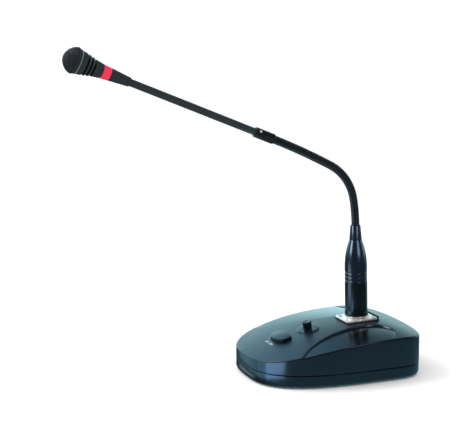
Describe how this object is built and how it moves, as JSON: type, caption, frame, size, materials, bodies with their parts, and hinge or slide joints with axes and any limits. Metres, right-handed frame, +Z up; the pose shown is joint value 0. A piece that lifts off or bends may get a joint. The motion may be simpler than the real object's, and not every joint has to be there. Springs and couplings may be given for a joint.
{
  "type": "desk paging microphone",
  "caption": "Desk paging microphone: weighted wedge base with talk button, volume knob and panel socket, and a plug-in ribbed gooseneck with a lit ring and domed grille.",
  "frame": {"origin": "on the desk plane, under the axis of the gooseneck's socket", "axes": "+X to the user's right, +Y away from the user, to the rear, +Z up"},
  "size_m": [0.123, 0.3152, 0.2921],
  "materials": {
    "case_plastic": "fine satin moulding",
    "moulded_black": "satin",
    "moulded_white": "satin",
    "button_plastic": "smooth satin",
    "black_metal": "gloss black",
    "neck_metal": "satin black",
    "grille_metal": "satin black mesh",
    "plain_steel": "plain",
    "nickel": "satin nickel",
    "plain_brass": "plain",
    "circuit_board": "solder mask",
    "red_lens": "clear red, lit",
    "pad_rubber": "matt",
    "foam": "open cell foam"
  },
  "bodies": {
    "base": {"base_cover": "case_plastic", "bottom_tray": "case_plastic", "ballast_plate": "plain_steel", "foot_pad": "pad_rubber", "case_screws": "plain_steel", "main_board": "circuit_board", "main_board_parts": "moulded_black", "main_board_screws": "plain_steel", "control_board": "circuit_board", "control_board_screws": "plain_steel", "switch_body": "moulded_black", "pot_body": "plain_steel", "socket_housing": "nickel", "socket_insert": "moulded_black", "socket_contacts": "plain_brass", "flange_screws": "nickel", "output_jack": "moulded_black", "jack_nut": "nickel"},
    "talk_button": {"talk_button": "button_plastic", "switch_plunger": "moulded_white"},
    "volume_knob": {"volume_knob": "button_plastic", "pot_shaft": "plain_brass"},
    "latch": {"latch_tab": "moulded_black"},
    "plug": {"plug_barrel": "black_metal", "plug_insert": "moulded_black", "plug_pins": "nickel", "plug_sleeve": "black_metal", "neck_collar": "black_metal", "neck_link_1": "neck_metal"},
    "neck_2": {"neck_link_2": "neck_metal"},
    "neck_3": {"neck_link_3": "neck_metal"},
    "neck_4": {"neck_link_4": "neck_metal"},
    "neck_5": {"neck_link_5": "neck_metal"},
    "neck_6": {"neck_link_6": "neck_metal"},
    "head": {"neck_link_7": "neck_metal", "neck_ferrule": "black_metal", "ferrule_screw": "plain_steel", "stem_tube": "black_metal", "head_shell": "moulded_black", "light_ring": "red_lens", "lamp_board": "circuit_board", "ring_lamps": "moulded_white", "head_collar": "moulded_black", "capsule_holder": "pad_rubber", "capsule": "plain_steel", "wind_foam": "foam", "grille_cap": "grille_metal"}
  },
  "joints": [
    {"name": "talk_press", "type": "slide", "parent": "base", "child": "talk_button", "axis": [0, 0.194, -0.981], "range_m": [0, 0.0015], "stiffness_N_per_m": 800, "springref_m": -0.0015},
    {"name": "volume_turn", "type": "hinge", "parent": "base", "child": "volume_knob", "pos_m": [0, -0.04926, 0.03732], "axis": [0, -0.194, 0.981], "range_deg": [-140, 140]},
    {"name": "latch_push", "type": "slide", "parent": "base", "child": "latch", "axis": [0, 0.0314, -0.9995], "range_m": [0, 0.0015], "stiffness_N_per_m": 1200, "springref_m": -0.0015},
    {"name": "plug_pull", "type": "slide", "parent": "base", "child": "plug", "axis": [0, -0.0314, 0.9995], "range_m": [0, 0.03]},
    {"name": "neck_bend_1", "type": "hinge", "parent": "plug", "child": "neck_2", "pos_m": [0, -0.00338, 0.14045], "axis": [1, 0, 0], "range_deg": [-18, 18]},
    {"name": "neck_sway_1", "type": "hinge", "parent": "neck_2", "child": "neck_3", "pos_m": [0, -0.00725, 0.16103], "axis": [0, 0.9389, 0.3441], "range_deg": [-18, 18]},
    {"name": "neck_bend_2", "type": "hinge", "parent": "neck_3", "child": "neck_4", "pos_m": [0, -0.01877, 0.17836], "axis": [1, 0, 0], "range_deg": [-18, 18]},
    {"name": "neck_sway_2", "type": "hinge", "parent": "neck_4", "child": "neck_5", "pos_m": [0, -0.03655, 0.18936], "axis": [0, 0.4492, 0.8934], "range_deg": [-18, 18]},
    {"name": "neck_bend_3", "type": "hinge", "parent": "neck_5", "child": "neck_6", "pos_m": [0, -0.05547, 0.19848], "axis": [1, 0, 0], "range_deg": [-18, 18]},
    {"name": "neck_sway_3", "type": "hinge", "parent": "neck_6", "child": "head", "pos_m": [0, -0.07467, 0.20698], "axis": [0, 0.3898, 0.9209], "range_deg": [-18, 18]}
  ]
}
